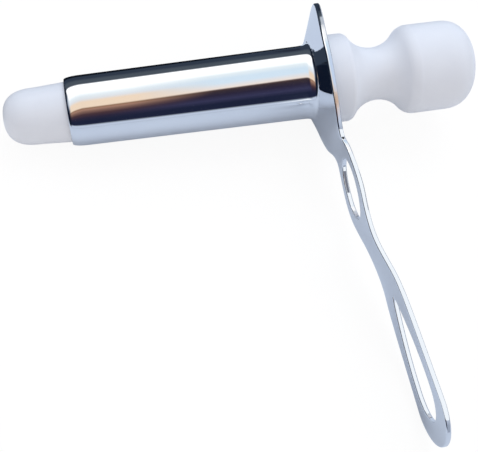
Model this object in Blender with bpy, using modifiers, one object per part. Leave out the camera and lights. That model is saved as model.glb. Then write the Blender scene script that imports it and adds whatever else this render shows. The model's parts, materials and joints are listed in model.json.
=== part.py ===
"""Proctoscope lying on its side.

A polished metal barrel is brazed into a pressed plate, whose dished oval flange runs on
into a looped handle.  A turned plastic obturator is pushed home through the barrel: its
blunt nose stands out beyond the lip, and its shoulder seats in the dish.

Every piece is modelled in the instrument's own frame: +X along the barrel towards the
hand, -Y down the handle, +Z square to both, and the origin where the barrel's axis
meets the flange's front face.  An empty then lays the whole instrument on the ground.
"""
import math

import bmesh
import bpy
from mathutils import Matrix, Vector

MM = 0.001

# Barrel, a gently tapered tube that reaches from the flange to the lip
BARREL_LENGTH = 78.35 * MM
BARREL_RADIUS = 11.9 * MM
BARREL_TIP_RADIUS = 11.1 * MM
BARREL_WALL = 1.25 * MM
LIP_LENGTH = 5.0 * MM
LIP_EDGE = 0.2 * MM

# Plate of the flange and the handle
PLATE_THICKNESS = 1.6 * MM
BRAZE_GAP = 0.25 * MM

# Flange, an oval about the barrel's axis, dished back from the bore and most at its sides
FLANGE_CROWN = 27.6 * MM
FLANGE_FOOT = 28.0 * MM
FLANGE_HALF_WIDTH = 17.7 * MM
CROWN_FULLNESS = 1.86
FOOT_FULLNESS = 1.66
CROWN_LEAN = math.radians(22.0)
FOOT_LEAN = math.radians(13.0)
SIDE_LEAN = math.radians(27.0)
FLARE_RISE = 0.44 * MM
FLARE_REACH = 2.2 * MM

# Handle: distances down it are measured from the barrel's axis
HANDLE_ROOT = 23.5 * MM
HANDLE_END = 121.7 * MM
HANDLE_SET_BACK = 5.05 * MM
ROOT_EASE_START = 20.5 * MM
ROOT_EASE_LENGTH = 9.0 * MM
EYE_LEAN = math.radians(2.0)
LOOP_LEAN = math.radians(4.6)
CRANK_START = 46.0 * MM
CRANK_LENGTH = 28.0 * MM
CRANK_STEP = 3.0 * MM
ROOT_HALF_WIDTH = 6.5 * MM
ROOT_DROP = 1.6 * MM
ROOT_ROUNDING = 2.4 * MM
EYE_ARM_DOWN = 42.0 * MM
EYE_ARM_HALF_WIDTH = 9.7 * MM
NECK_DOWN = 59.5 * MM
NECK_HALF_WIDTH = 5.1 * MM
SWELL_DOWN = 80.0 * MM
SWELL_HALF_WIDTH = 9.0 * MM
LOOP_HALF_WIDTH = 11.6 * MM

# Openings in the handle
EYE_TOP = 29.0 * MM
EYE_BOTTOM = 49.5 * MM
EYE_HALF_WIDTH = 6.3 * MM
TEAR_TOP = 74.5 * MM
TEAR_WIDEST = 105.0 * MM
TEAR_BOTTOM = 114.3 * MM
TEAR_HALF_WIDTH = 6.7 * MM
TEAR_TOP_FULLNESS = 0.88
TEAR_TOP_ROUNDING = 0.7 * MM

# Obturator: distances along it are measured from the flange's front face
RUNNING_GAP = 0.3 * MM
SEAT_GAP = 0.3 * MM
NOSE_LENGTH = 20.3 * MM
NOSE_TAPER = math.radians(3.5)
NOSE_DOME_LENGTH = 11.0 * MM
NOSE_FULLNESS = 2.7
SHOULDER_RADIUS = 14.4 * MM
SHOULDER_ROUNDING = 2.2 * MM
SEAT_ROUNDING = 0.6 * MM
WAIST_ALONG = 22.15 * MM
WAIST_RADIUS = 8.6 * MM
WAIST_HOLLOW_RADIUS = 10.5 * MM
WAIST_FLANK = math.radians(52.0)
KNOB_RADIUS = 14.6 * MM
KNOB_ROUNDING = 5.0 * MM
KNOB_LENGTH = 55.55 * MM
KNOB_DOME_LENGTH = 10.5 * MM
KNOB_FULLNESS = 2.5

# Fineness of the facets
TURNED_STEPS = 64
ROUNDING_STEPS = 8
DOME_STEPS = 10
OUTLINE_STEP = 2.6 * MM
OVAL_STEPS = 72
GRID_STEP = 2.6 * MM
CUT_TOLERANCE = 0.002 * MM
MERGE_TOLERANCE = 0.01 * MM

# Densities, which settle how the instrument balances as it lies
METAL_DENSITY = 8400.0
PLASTIC_DENSITY = 950.0


def clear_scene():
    """Start from an empty scene."""
    for item in list(bpy.data.objects):
        bpy.data.objects.remove(item, do_unlink=True)


def finish(name, colour, roughness, metallic):
    """A plain surface finish."""
    material = bpy.data.materials.new(name)
    material.use_nodes = True
    shader = material.node_tree.nodes["Principled BSDF"]
    shader.inputs["Base Color"].default_value = (*colour, 1.0)
    shader.inputs["Roughness"].default_value = roughness
    shader.inputs["Metallic"].default_value = metallic
    return material


def smooth_step(share):
    """Ease from 0 to 1 with level ends."""
    share = min(max(share, 0.0), 1.0)
    return share * share * (3.0 - 2.0 * share)


def rounded(corners):
    """Straight runs through (x, y, rounding) corners, each rounded by an arc."""
    points = [Vector(corners[0][:2])]
    for before, corner, after in zip(corners, corners[1:], corners[2:]):
        here = Vector(corner[:2])
        rounding = corner[2]
        if rounding == 0.0:
            points.append(here)
            continue
        back = (Vector(before[:2]) - here).normalized()
        onward = (Vector(after[:2]) - here).normalized()
        half_angle = back.angle(onward) / 2.0
        centre = here + (back + onward).normalized() * rounding / math.sin(half_angle)
        reach = rounding / math.tan(half_angle)
        first = here + back * reach - centre
        last = here + onward * reach - centre
        for step in range(ROUNDING_STEPS + 1):
            spoke = first.lerp(last, step / ROUNDING_STEPS).normalized()
            points.append(centre + spoke * rounding)
    points.append(Vector(corners[-1][:2]))
    return points


def dome(base, radius, rise, fullness):
    """A blunt rounded end, from its base to its crown on the axis."""
    points = []
    for step in range(DOME_STEPS + 1):
        turn = math.pi / 2.0 * step / DOME_STEPS
        along = base + rise * math.sin(turn) ** (2.0 / fullness)
        out = radius * max(math.cos(turn), 0.0) ** (2.0 / fullness)
        points.append(Vector((along, out)))
    points[-1].y = 0.0
    return points


def turned(name, outline, closed, material):
    """A piece of revolution about its own Z; the outline runs down its outer side."""
    mesh = bpy.data.meshes.new(name)
    vertices = [(point.y, 0.0, point.x) for point in outline]
    edges = [(start, start + 1) for start in range(len(outline) - 1)]
    if closed:
        edges.append((len(outline) - 1, 0))
    mesh.from_pydata(vertices, edges, [])
    mesh.materials.append(material)
    piece = bpy.data.objects.new(name, mesh)
    screw = piece.modifiers.new("Turn", "SCREW")
    screw.axis = "Z"
    screw.steps = TURNED_STEPS
    screw.render_steps = TURNED_STEPS
    screw.use_merge_vertices = True
    screw.merge_threshold = MERGE_TOLERANCE
    screw.use_smooth_shade = True
    return piece


def barrel_radius(along):
    """Outer radius of the tapered barrel at a distance along it."""
    share = -along / BARREL_LENGTH
    return BARREL_RADIUS + (BARREL_TIP_RADIUS - BARREL_RADIUS) * share


def dish_rise(down, across):
    """How far back the flange's middle surface stands, from its bore edge."""
    radius = math.hypot(down, across)
    sideways = (across / radius) ** 2
    upright_lean = CROWN_LEAN if down < 0.0 else FOOT_LEAN
    slope = math.tan(upright_lean) * (1.0 - sideways) + math.tan(SIDE_LEAN) * sideways
    out = max(radius - BARREL_RADIUS - BRAZE_GAP, 0.0)
    return out * slope + FLARE_RISE * (1.0 - math.exp(-out / FLARE_REACH))


def handle_set_back(down):
    """How far back the handle's middle surface stands at a distance down it."""
    root = HANDLE_SET_BACK
    crank_middle = CRANK_START + CRANK_LENGTH / 2.0
    eye_run = root + (down - HANDLE_ROOT) * math.tan(EYE_LEAN)
    loop_start = root + (crank_middle - HANDLE_ROOT) * math.tan(EYE_LEAN) + CRANK_STEP
    loop_run = loop_start + (down - crank_middle) * math.tan(LOOP_LEAN)
    ease = smooth_step((down - CRANK_START) / CRANK_LENGTH)
    return eye_run * (1.0 - ease) + loop_run * ease


def pressed_surface(down, across):
    """The plate's middle surface: a dish round the barrel that eases into the handle."""
    ease = smooth_step((down - ROOT_EASE_START) / ROOT_EASE_LENGTH)
    dish = dish_rise(down, across)
    return dish * (1.0 - ease) + handle_set_back(down) * ease


def half_thickness_along(down, across):
    """Half the plate's thickness, measured along the barrel's axis."""
    nudge = 0.01 * MM
    here = pressed_surface(down, across)
    slope_down = (pressed_surface(down + nudge, across) - here) / nudge
    slope_across = (pressed_surface(down, across + nudge) - here) / nudge
    return PLATE_THICKNESS / 2.0 * math.sqrt(1.0 + slope_down ** 2 + slope_across ** 2)


def bore_half_thickness():
    """Half the plate's thickness along the barrel, at the edge of its bore."""
    slope = math.tan(CROWN_LEAN) + FLARE_RISE / FLARE_REACH
    return PLATE_THICKNESS / 2.0 * math.sqrt(1.0 + slope ** 2)


def plate_back(radius):
    """Where the flange's back face crosses a radius, along the barrel."""
    return bore_half_thickness() + dish_rise(0.0, radius) + half_thickness_along(0.0, radius)


def barrel_outline():
    """The barrel's wall in section: down the outside, round the lip, up the bore."""
    foot = 2.0 * bore_half_thickness()
    lip_start = LIP_LENGTH - BARREL_LENGTH
    mouth = barrel_radius(-BARREL_LENGTH) - BARREL_WALL
    lip_drop = barrel_radius(lip_start) - mouth - LIP_EDGE
    points = [Vector((foot, barrel_radius(foot)))]
    for step in range(DOME_STEPS + 1):
        turn = math.pi / 2.0 * step / DOME_STEPS
        along = lip_start - LIP_LENGTH * math.sin(turn)
        out = mouth + LIP_EDGE + lip_drop * math.cos(turn)
        points.append(Vector((along, out)))
    points.append(Vector((-BARREL_LENGTH, mouth)))
    points.append(Vector((foot, barrel_radius(foot) - BARREL_WALL)))
    return points


def obturator_outline():
    """The obturator in section, from the knob's crown down to the tip of the nose."""
    seat = plate_back(SHOULDER_RADIUS) + SEAT_GAP
    body_gap = BARREL_WALL + RUNNING_GAP
    nose_base = -BARREL_LENGTH - NOSE_LENGTH + NOSE_DOME_LENGTH
    nose_root = barrel_radius(-BARREL_LENGTH) - body_gap
    nose_narrowing = (NOSE_LENGTH - NOSE_DOME_LENGTH) * math.tan(NOSE_TAPER)
    nose_radius = nose_root - nose_narrowing
    knob_base = KNOB_LENGTH - KNOB_DOME_LENGTH
    hollow_centre = WAIST_RADIUS + WAIST_HOLLOW_RADIUS
    hollow_corner = hollow_centre - WAIST_HOLLOW_RADIUS / math.cos(WAIST_FLANK)
    shoulder_reach = (SHOULDER_RADIUS - hollow_corner) / math.tan(WAIST_FLANK)
    knob_reach = (KNOB_RADIUS - hollow_corner) / math.tan(WAIST_FLANK)
    crown = dome(knob_base, KNOB_RADIUS, KNOB_DOME_LENGTH, KNOB_FULLNESS)
    runs = rounded([
        (knob_base, KNOB_RADIUS, 0.0),
        (WAIST_ALONG + knob_reach, KNOB_RADIUS, KNOB_ROUNDING),
        (WAIST_ALONG, hollow_corner, WAIST_HOLLOW_RADIUS),
        (WAIST_ALONG - shoulder_reach, SHOULDER_RADIUS, SHOULDER_ROUNDING),
        (seat, SHOULDER_RADIUS, SEAT_ROUNDING),
        (seat, barrel_radius(seat) - body_gap, 0.0),
        (-BARREL_LENGTH, nose_root, 0.0),
        (nose_base, nose_radius, 0.0),
    ])
    nose = dome(-nose_base, nose_radius, NOSE_DOME_LENGTH, NOSE_FULLNESS)
    tip = [Vector((-point.x, point.y)) for point in nose]
    return crown[::-1][:-1] + runs[:-1] + tip


def curve_through(stations, step):
    """Points about a step apart on a smooth curve through (down, half width) stations."""
    points = []
    ends = [stations[0]] + stations + [stations[-1]]
    for before, start, end, after in zip(ends, ends[1:], ends[2:], ends[3:]):
        start_slope = (end[1] - before[1]) / (end[0] - before[0])
        end_slope = (after[1] - start[1]) / (after[0] - start[0])
        span = end[0] - start[0]
        count = max(int(round(span / step)), 2)
        for index in range(count):
            share = index / count
            square = share * share
            cube = square * share
            value = (2.0 * cube - 3.0 * square + 1.0) * start[1]
            value += (cube - 2.0 * square + share) * span * start_slope
            value += (3.0 * square - 2.0 * cube) * end[1]
            value += (cube - square) * span * end_slope
            points.append((start[0] + span * share, value))
    points.append(stations[-1])
    return points


def oval_point(turn):
    """The flange's outline at a turn from its crown, as (down, across)."""
    is_crown = math.cos(turn) > 0.0
    height = FLANGE_CROWN if is_crown else FLANGE_FOOT
    power = 2.0 / (CROWN_FULLNESS if is_crown else FOOT_FULLNESS)
    down = -math.copysign(height * abs(math.cos(turn)) ** power, math.cos(turn))
    return down, FLANGE_HALF_WIDTH * abs(math.sin(turn)) ** power


def plate_side():
    """One side of the plate's outline, from the flange's crown to the handle's end."""
    meeting = ROOT_HALF_WIDTH + ROOT_DROP
    sine = (meeting / FLANGE_HALF_WIDTH) ** (FOOT_FULLNESS / 2.0)
    last_turn = math.pi - math.asin(sine)
    count = OVAL_STEPS // 2
    side = [oval_point(last_turn * step / count) for step in range(count + 1)]
    loop_centre = HANDLE_END - LOOP_HALF_WIDTH
    root_down = side[-1][0] + ROOT_DROP
    arm = curve_through([
        (root_down, ROOT_HALF_WIDTH),
        (EYE_ARM_DOWN, EYE_ARM_HALF_WIDTH),
        (NECK_DOWN, NECK_HALF_WIDTH),
        (SWELL_DOWN, SWELL_HALF_WIDTH),
        (loop_centre, LOOP_HALF_WIDTH),
    ], OUTLINE_STEP)
    above = [point for point in side if point[0] < root_down - ROOT_ROUNDING]
    below = [point for point in arm if point[0] > root_down + ROOT_ROUNDING]
    corner = rounded([(*above[-1], 0.0), (*arm[0], ROOT_ROUNDING), (*below[0], 0.0)])
    side = above + [(point.x, point.y) for point in corner[1:-1]] + below
    for step in range(1, DOME_STEPS + 1):
        turn = math.pi / 2.0 * step / DOME_STEPS
        down = loop_centre + LOOP_HALF_WIDTH * math.sin(turn)
        side.append((down, LOOP_HALF_WIDTH * math.cos(turn)))
    return side


def eye_outline():
    """The oval eye near the top of the handle."""
    centre = (EYE_TOP + EYE_BOTTOM) / 2.0
    half_length = (EYE_BOTTOM - EYE_TOP) / 2.0
    count = OVAL_STEPS // 2
    points = []
    for step in range(count):
        turn = 2.0 * math.pi * step / count
        points.append((centre - half_length * math.cos(turn), EYE_HALF_WIDTH * math.sin(turn)))
    return points


def tear_outline():
    """The long teardrop of the loop: narrow at the top, widest low down, and round below."""
    count = int(round((TEAR_WIDEST - TEAR_TOP) / OUTLINE_STEP))
    flank = []
    for step in range(1, count):
        share = step / count
        across = TEAR_HALF_WIDTH * math.sin(math.pi / 2.0 * share) ** TEAR_TOP_FULLNESS
        flank.append((TEAR_TOP + (TEAR_WIDEST - TEAR_TOP) * share, across))
    for step in range(DOME_STEPS):
        turn = math.pi / 2.0 * step / DOME_STEPS
        down = TEAR_WIDEST + (TEAR_BOTTOM - TEAR_WIDEST) * math.sin(turn)
        flank.append((down, TEAR_HALF_WIDTH * math.cos(turn)))
    first_down, first_across = flank[0]
    apex = rounded([
        (first_down, -first_across, 0.0),
        (TEAR_TOP, 0.0, TEAR_TOP_ROUNDING),
        (first_down, first_across, 0.0),
    ])[1:-1]
    other_flank = [(down, -across) for down, across in flank[::-1]]
    return [(point.x, point.y) for point in apex] + flank + [(TEAR_BOTTOM, 0.0)] + other_flank


def bore_outline():
    """The round bore that the barrel is brazed into."""
    radius = BARREL_RADIUS + BRAZE_GAP
    points = []
    for step in range(TURNED_STEPS):
        turn = 2.0 * math.pi * step / TURNED_STEPS
        points.append((radius * math.cos(turn), radius * math.sin(turn)))
    return points


def plate_blank():
    """The flat blank of the plate, as a closed mesh."""
    side = plate_side()
    other_side = [(down, -across) for down, across in side[-2:0:-1]]
    curve = bpy.data.curves.new("plate_blank", "CURVE")
    curve.dimensions = "2D"
    curve.fill_mode = "BOTH"
    curve.extrude = PLATE_THICKNESS / 2.0
    for outline in (side + other_side, bore_outline(), eye_outline(), tear_outline()):
        spline = curve.splines.new("POLY")
        spline.points.add(len(outline) - 1)
        for point, (down, across) in zip(spline.points, outline):
            point.co = (-down, across, 0.0, 1.0)
        spline.use_cyclic_u = True
    blank = bpy.data.objects.new("plate_blank", curve)
    bpy.context.scene.collection.objects.link(blank)
    graph = bpy.context.evaluated_depsgraph_get()
    mesh = bpy.data.meshes.new_from_object(blank.evaluated_get(graph))
    bpy.data.objects.remove(blank, do_unlink=True)
    form = bmesh.new()
    form.from_mesh(mesh)
    bmesh.ops.remove_doubles(form, verts=form.verts, dist=MERGE_TOLERANCE)
    return form


def cut_across(form, place, direction, reach):
    """Cut the blank along one grid line, down to a reach along the handle."""
    faces = [face for face in form.faces if -face.calc_center_median().x < reach]
    edges = {edge for face in faces for edge in face.edges}
    verts = {vert for face in faces for vert in face.verts}
    geometry = list(verts) + list(edges) + faces
    bmesh.ops.bisect_plane(
        form, geom=geometry, dist=CUT_TOLERANCE / 2.0, plane_co=place, plane_no=direction
    )


def grid_places(start, end):
    """Evenly spaced places between two ends, about a grid step apart."""
    count = int(round((end - start) / GRID_STEP))
    return [start + (end - start) * index / count for index in range(1, count)]


def cut_grid(form):
    """Divide the blank where the press will curve it, and drop the fill's own diagonals."""
    flat_from = CRANK_START + CRANK_LENGTH
    downs = grid_places(-FLANGE_CROWN, flat_from) + [flat_from]
    for down in downs:
        cut_across(form, (-down, 0.0, 0.0), (1.0, 0.0, 0.0), HANDLE_END)
    acrosses = grid_places(-FLANGE_HALF_WIDTH, FLANGE_HALF_WIDTH)
    for across in acrosses:
        cut_across(form, (0.0, across, 0.0), (0.0, 1.0, 0.0), FLANGE_FOOT)
    spare = []
    for edge in form.edges:
        first, last = (vert.co for vert in edge.verts)
        step = last - first
        is_flat = all(abs(face.normal.z) > 0.5 for face in edge.link_faces)
        is_gridded = max(-first.x, -last.x) < flat_from + CUT_TOLERANCE
        if is_flat and is_gridded and min(abs(step.x), abs(step.y)) > CUT_TOLERANCE:
            spare.append(edge)
    bmesh.ops.dissolve_edges(form, edges=spare, use_verts=True)


def flange_handle(material):
    """The plate, pressed from its flat blank into the dish, the cranked neck and the loop."""
    form = plate_blank()
    form.normal_update()
    cut_grid(form)
    middle_at_bore = bore_half_thickness()
    for vert in form.verts:
        down = -vert.co.x
        across = vert.co.y
        side = 1.0 if vert.co.z > 0.0 else -1.0
        height = middle_at_bore + pressed_surface(down, across)
        vert.co.z = height + side * half_thickness_along(down, across)
    bmesh.ops.recalc_face_normals(form, faces=form.faces)
    mesh = bpy.data.meshes.new("flange_handle")
    form.to_mesh(mesh)
    form.free()
    mesh.materials.append(material)
    mesh.shade_smooth()
    mesh.set_sharp_from_angle(angle=math.radians(35.0))
    return bpy.data.objects.new("flange_handle", mesh)


def world_mesh(piece):
    """A piece's evaluated mesh with its place applied, as a bmesh."""
    graph = bpy.context.evaluated_depsgraph_get()
    evaluated = piece.evaluated_get(graph)
    form = bmesh.new()
    form.from_mesh(evaluated.to_mesh())
    evaluated.to_mesh_clear()
    form.transform(piece.matrix_world)
    return form


def balance_point(weighted_pieces):
    """The centre of mass of (piece, density) pairs."""
    total = 0.0
    moment = Vector((0.0, 0.0, 0.0))
    for piece, density in weighted_pieces:
        form = world_mesh(piece)
        for corners in form.calc_loop_triangles():
            a, b, c = (loop.vert.co for loop in corners)
            mass = a.dot(b.cross(c)) / 6.0 * density
            total += mass
            moment += mass * (a + b + c) / 4.0
        form.free()
    return moment / total


def resting_normal(pieces, balance):
    """The way down of the hull face, on the lying side, that the balance point stands over."""
    hull = bmesh.new()
    for piece in pieces:
        form = world_mesh(piece)
        for vert in form.verts:
            hull.verts.new(vert.co)
        form.free()
    bmesh.ops.convex_hull(hull, input=hull.verts)
    hull.normal_update()
    best = None
    for face in hull.faces:
        if face.normal.z > -0.9:
            continue
        foot = balance - face.normal * (balance - face.verts[0].co).dot(face.normal)
        inside = min(
            (loop.link_loop_next.vert.co - loop.vert.co).cross(foot - loop.vert.co).dot(face.normal)
            / loop.edge.calc_length()
            for loop in face.loops
        )
        if best is None or inside > best[0]:
            best = (inside, face.normal.copy())
    hull.free()
    return best[1]


def lay_down(ground, weighted_pieces):
    """Turn and place the empty so that the instrument rests on Z = 0 as it would lie."""
    pieces = [piece for piece, density in weighted_pieces]
    normal = resting_normal(pieces, balance_point(weighted_pieces))
    turn = normal.rotation_difference(Vector((0.0, 0.0, -1.0))).to_matrix()
    barrel_way = turn @ Vector((1.0, 0.0, 0.0))
    swing = Matrix.Rotation(-math.atan2(barrel_way.y, barrel_way.x), 3, "Z")
    turn = swing @ turn
    points = []
    for piece in pieces:
        form = world_mesh(piece)
        points += [turn @ vert.co for vert in form.verts]
        form.free()
    low = Vector([min(point[axis] for point in points) for axis in range(3)])
    high = Vector([max(point[axis] for point in points) for axis in range(3)])
    shift = Vector((-(low.x + high.x) / 2.0, -(low.y + high.y) / 2.0, -low.z))
    ground.matrix_world = Matrix.Translation(shift) @ turn.to_4x4()


def build():
    """Make the three pieces, and lay them down together."""
    clear_scene()
    collection = bpy.data.collections.new("proctoscope")
    bpy.context.scene.collection.children.link(collection)
    steel = finish("polished_plate", (0.78, 0.79, 0.82), 0.08, 1.0)
    plastic = finish("white_plastic", (0.86, 0.87, 0.90), 0.4, 0.0)
    barrel = turned("barrel_tube", barrel_outline(), True, steel)
    plate = flange_handle(steel)
    obturator = turned("obturator", obturator_outline(), False, plastic)
    ground = bpy.data.objects.new("lying_frame", None)
    collection.objects.link(ground)
    for piece in (barrel, plate, obturator):
        collection.objects.link(piece)
        piece.parent = ground
        piece.rotation_euler = (math.pi / 2.0, 0.0, math.pi / 2.0)
    bpy.context.view_layer.update()
    lay_down(ground, [(barrel, METAL_DENSITY), (plate, METAL_DENSITY), (obturator, PLASTIC_DENSITY)])
    bpy.context.view_layer.update()


build()
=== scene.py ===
"""Proctoscope lying on its side: polished metal speculum with its white plastic obturator.

Every piece is made in the instrument's own frame, as the CAD is: +X along the barrel
towards the hand, -Y down the handle, +Z square to both, and the origin where the
barrel's axis meets the flange's front face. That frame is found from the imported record,
and each piece's mesh is then moved to where the instrument lies.
"""

import json
import math

import bmesh
import bpy
from mathutils import Matrix, Vector


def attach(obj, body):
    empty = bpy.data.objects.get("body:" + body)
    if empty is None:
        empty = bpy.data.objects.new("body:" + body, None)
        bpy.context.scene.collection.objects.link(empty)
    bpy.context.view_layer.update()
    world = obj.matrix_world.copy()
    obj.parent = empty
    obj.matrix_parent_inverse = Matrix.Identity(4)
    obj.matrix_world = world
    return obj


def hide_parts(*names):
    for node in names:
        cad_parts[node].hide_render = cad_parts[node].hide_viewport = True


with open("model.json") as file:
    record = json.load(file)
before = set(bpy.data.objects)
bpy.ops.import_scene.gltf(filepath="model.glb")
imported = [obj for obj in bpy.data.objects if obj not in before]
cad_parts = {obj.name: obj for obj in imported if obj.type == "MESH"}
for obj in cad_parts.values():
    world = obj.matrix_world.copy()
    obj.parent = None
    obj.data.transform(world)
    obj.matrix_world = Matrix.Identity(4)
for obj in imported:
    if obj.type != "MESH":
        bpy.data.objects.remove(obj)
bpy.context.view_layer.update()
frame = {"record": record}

MM = 0.001

# Barrel
BARREL_LENGTH = 78.35 * MM
BARREL_RADIUS = 11.9 * MM
BARREL_TIP_RADIUS = 11.1 * MM
BARREL_WALL = 1.25 * MM
LIP_LENGTH = 5.0 * MM
LIP_EDGE = 0.45 * MM
BRAZE_START = 3.0 * MM
BRAZE_REACH = 0.9 * MM
BRAZE_LIFT = 0.02 * MM

# Plate of the flange and the handle
PLATE_THICKNESS = 1.6 * MM
PLATE_ROUNDING = 0.42 * MM
BRAZE_GAP = 0.25 * MM
FLANGE_CROWN = 27.6 * MM
FLANGE_FOOT = 28.0 * MM
FLANGE_HALF_WIDTH = 17.7 * MM
CROWN_FULLNESS = 1.86
FOOT_FULLNESS = 1.66
CROWN_LEAN = math.radians(22.0)
FOOT_LEAN = math.radians(13.0)
SIDE_LEAN = math.radians(27.0)
FLARE_RISE = 0.44 * MM
FLARE_REACH = 2.2 * MM
ROOT_EASE_START = 20.5 * MM
ROOT_EASE_LENGTH = 9.0 * MM
HANDLE_ROOT = 23.5 * MM
HANDLE_SET_BACK = 5.05 * MM
HANDLE_END = 121.7 * MM
EYE_LEAN = math.radians(2.0)
LOOP_LEAN = math.radians(4.6)
CRANK_START = 46.0 * MM
CRANK_LENGTH = 28.0 * MM
CRANK_STEP = 3.0 * MM
ROOT_HALF_WIDTH = 6.5 * MM
ROOT_ROUNDING = 2.4 * MM
ROOT_DROP = 1.6 * MM
EYE_ARM_DOWN = 42.0 * MM
EYE_ARM_HALF_WIDTH = 9.7 * MM
NECK_DOWN = 59.5 * MM
NECK_HALF_WIDTH = 5.1 * MM
SWELL_DOWN = 80.0 * MM
SWELL_HALF_WIDTH = 9.0 * MM
LOOP_HALF_WIDTH = 11.6 * MM
EYE_TOP = 29.0 * MM
EYE_BOTTOM = 49.5 * MM
EYE_HALF_WIDTH = 6.3 * MM
TEAR_TOP = 74.5 * MM
TEAR_WIDEST = 105.0 * MM
TEAR_BOTTOM = 114.3 * MM
TEAR_HALF_WIDTH = 6.7 * MM
TEAR_TOP_FULLNESS = 0.88
TEAR_TOP_ROUNDING = 0.7 * MM

# Obturator
RUNNING_GAP = 0.3 * MM
SEAT_GAP = 0.3 * MM
NOSE_LENGTH = 20.3 * MM
NOSE_TAPER = math.radians(3.5)
NOSE_DOME_LENGTH = 11.0 * MM
NOSE_FULLNESS = 2.7
SHOULDER_RADIUS = 14.4 * MM
SHOULDER_ROUNDING = 2.2 * MM
SEAT_ROUNDING = 0.6 * MM
WAIST_ALONG = 22.15 * MM
WAIST_RADIUS = 8.6 * MM
WAIST_HOLLOW_RADIUS = 10.5 * MM
WAIST_FLANK = math.radians(52.0)
KNOB_RADIUS = 14.6 * MM
KNOB_ROUNDING = 5.0 * MM
KNOB_LENGTH = 55.55 * MM
KNOB_DOME_LENGTH = 10.5 * MM
KNOB_FULLNESS = 2.5

# Fineness
TURNED_STEPS = 160
ROUNDING_STEPS = 14
DOME_STEPS = 26
BARREL_RUN_STEPS = 12
LIP_EDGE_STEPS = 6
BRAZE_STEPS = 10
PLATE_ROUNDING_STEPS = 6
OVAL_STEPS = 200
EYE_STEPS = 66
TEAR_APEX_STEPS = 3
OUTLINE_STEP = 1.0 * MM
GRID_STEP = 1.1 * MM
CUT_TOLERANCE = 0.002 * MM
MERGE_TOLERANCE = 0.01 * MM
SLOPE_NUDGE = 0.005 * MM
SHARP_ANGLE = math.radians(60.0)

# How much of its normal a face of the plate's flat solid has upright: a flat face, and a wall
SQUARE_ON = 0.999
EDGE_ON = 0.001

# Added to the braze's shares where they stand in for places along the barrel
BRAZE_TAG = 1.0


def smooth_step(share):
    """Ease from 0 to 1 with level ends."""
    share = min(max(share, 0.0), 1.0)
    return share * share * (3.0 - 2.0 * share)


def rounded(corners):
    """Straight runs through (x, y, rounding) corners, each rounded by an arc."""
    points = [Vector(corners[0][:2])]
    for before, corner, after in zip(corners, corners[1:], corners[2:]):
        here = Vector(corner[:2])
        rounding = corner[2]
        if rounding == 0.0:
            points.append(here)
            continue
        back = (Vector(before[:2]) - here).normalized()
        onward = (Vector(after[:2]) - here).normalized()
        half_angle = back.angle(onward) / 2.0
        centre = here + (back + onward).normalized() * rounding / math.sin(half_angle)
        reach = rounding / math.tan(half_angle)
        first = here + back * reach - centre
        last = here + onward * reach - centre
        for step in range(ROUNDING_STEPS + 1):
            spoke = first.lerp(last, step / ROUNDING_STEPS).normalized()
            points.append(centre + spoke * rounding)
    points.append(Vector(corners[-1][:2]))
    return points


def dome(base, radius, rise, fullness):
    """A blunt rounded end, from its base to its crown on the axis."""
    points = []
    for step in range(DOME_STEPS + 1):
        turn = math.pi / 2.0 * step / DOME_STEPS
        along = base + rise * math.sin(turn) ** (2.0 / fullness)
        out = radius * max(math.cos(turn), 0.0) ** (2.0 / fullness)
        points.append(Vector((along, out)))
    points[-1].y = 0.0
    return points


def barrel_radius(along):
    """Outer radius of the tapered barrel at a distance along it."""
    share = -along / BARREL_LENGTH
    return BARREL_RADIUS + (BARREL_TIP_RADIUS - BARREL_RADIUS) * share


def dish_rise(down, across):
    """How far back the flange's middle surface stands, from its bore edge."""
    radius = math.hypot(down, across)
    sideways = (across / radius) ** 2
    upright_lean = CROWN_LEAN if down < 0.0 else FOOT_LEAN
    slope = math.tan(upright_lean) * (1.0 - sideways) + math.tan(SIDE_LEAN) * sideways
    out = max(radius - BARREL_RADIUS - BRAZE_GAP, 0.0)
    return out * slope + FLARE_RISE * (1.0 - math.exp(-out / FLARE_REACH))


def handle_set_back(down):
    """How far back the handle's middle surface stands at a distance down it."""
    crank_middle = CRANK_START + CRANK_LENGTH / 2.0
    eye_run = HANDLE_SET_BACK + (down - HANDLE_ROOT) * math.tan(EYE_LEAN)
    loop_start = HANDLE_SET_BACK + (crank_middle - HANDLE_ROOT) * math.tan(EYE_LEAN) + CRANK_STEP
    loop_run = loop_start + (down - crank_middle) * math.tan(LOOP_LEAN)
    ease = smooth_step((down - CRANK_START) / CRANK_LENGTH)
    return eye_run * (1.0 - ease) + loop_run * ease


def pressed_surface(down, across):
    """The plate's middle surface: a dish round the barrel that eases into the handle."""
    ease = smooth_step((down - ROOT_EASE_START) / ROOT_EASE_LENGTH)
    dish = dish_rise(down, across)
    return dish * (1.0 - ease) + handle_set_back(down) * ease


def pressed_slopes(down, across):
    """How steeply the pressed surface runs back, down the handle and across it."""
    lower = pressed_surface(down - SLOPE_NUDGE, across)
    upper = pressed_surface(down + SLOPE_NUDGE, across)
    left = pressed_surface(down, across - SLOPE_NUDGE)
    right = pressed_surface(down, across + SLOPE_NUDGE)
    return (upper - lower) / (2.0 * SLOPE_NUDGE), (right - left) / (2.0 * SLOPE_NUDGE)


def stretch_along(down, across):
    """How much longer the plate's thickness is when measured along the barrel."""
    slope_down, slope_across = pressed_slopes(down, across)
    return math.sqrt(1.0 + slope_down ** 2 + slope_across ** 2)


def bore_half_thickness():
    """Half the plate's thickness along the barrel, at the edge of its bore."""
    slope = math.tan(CROWN_LEAN) + FLARE_RISE / FLARE_REACH
    return PLATE_THICKNESS / 2.0 * math.sqrt(1.0 + slope ** 2)


def plate_face(down, across, side):
    """Where the plate's front (side -1) or back (side +1) face stands along the barrel."""
    half = PLATE_THICKNESS / 2.0 * stretch_along(down, across)
    return bore_half_thickness() + pressed_surface(down, across) + side * half


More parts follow.
